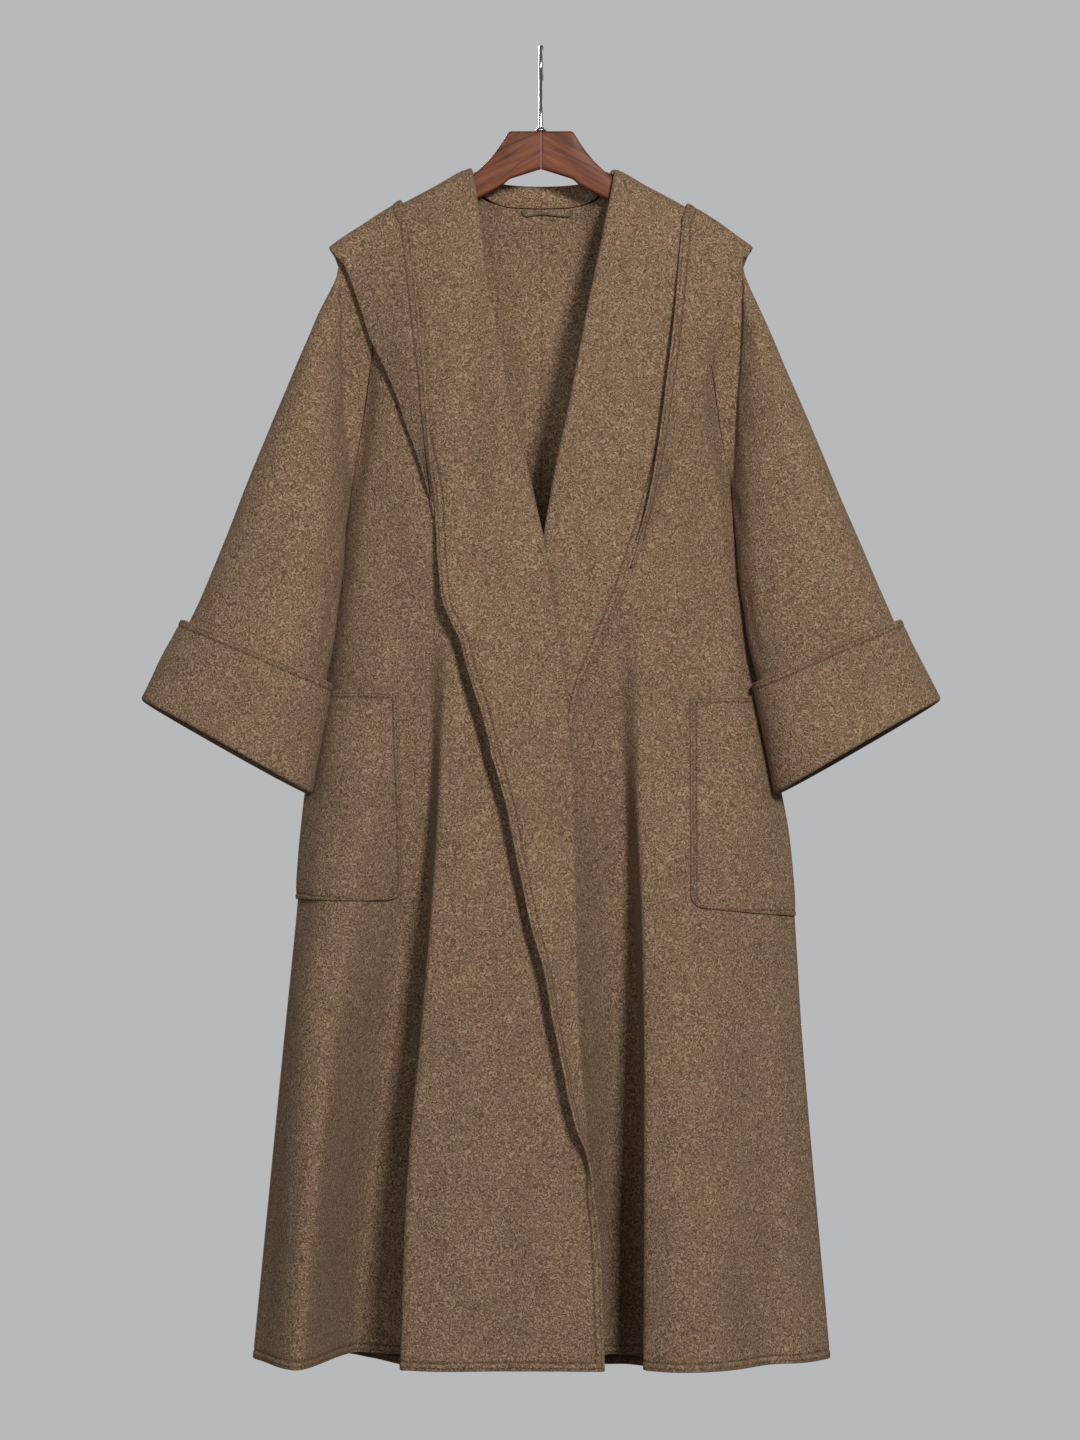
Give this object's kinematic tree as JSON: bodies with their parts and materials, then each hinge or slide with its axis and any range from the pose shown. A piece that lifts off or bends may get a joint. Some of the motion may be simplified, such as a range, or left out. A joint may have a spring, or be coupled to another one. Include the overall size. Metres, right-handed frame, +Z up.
{
  "type": "hooded open-front wool coat on a wooden hanger",
  "caption": "Long open-front wool coat with a shawl front, wide turned-back cuffs, patch pockets and a hood laid back, hung on a wooden hanger.",
  "frame": {"origin": "inner top of the hook's crook, where the rail carries it", "axes": "+Z up, -Y out of the coat's front, +X to the wearer's left"},
  "size_m": [0.7889, 0.2093, 1.3306],
  "materials": {
    "front_right": "brushed melange wool, matt",
    "front_left": "brushed melange wool, matt",
    "back_right": "brushed melange wool, matt",
    "back_left": "brushed melange wool, matt",
    "sleeve_right": "brushed melange wool, matt",
    "sleeve_left": "brushed melange wool, matt",
    "cuff_right": "brushed melange wool, matt",
    "cuff_left": "brushed melange wool, matt",
    "pocket_right": "brushed melange wool, matt",
    "pocket_left": "brushed melange wool, matt",
    "hood_right": "brushed melange wool, matt",
    "hood_left": "brushed melange wool, matt",
    "hanging_loop": "narrow woven wool tape",
    "hanger_arm_right": "satin varnished walnut",
    "hanger_arm_left": "satin varnished walnut",
    "hook_ferrule": "polished",
    "hanger_hook": "polished"
  },
  "bodies": {
    "root": {"front_right": "front_right", "front_left": "front_left", "back_right": "back_right", "back_left": "back_left", "sleeve_right": "sleeve_right", "sleeve_left": "sleeve_left", "cuff_right": "cuff_right", "cuff_left": "cuff_left", "pocket_right": "pocket_right", "pocket_left": "pocket_left", "hood_right": "hood_right", "hood_left": "hood_left", "hanging_loop": "hanging_loop", "hanger_arm_right": "hanger_arm_right", "hanger_arm_left": "hanger_arm_left", "hook_ferrule": "hook_ferrule", "hanger_hook": "hanger_hook"}
  },
  "joints": []
}
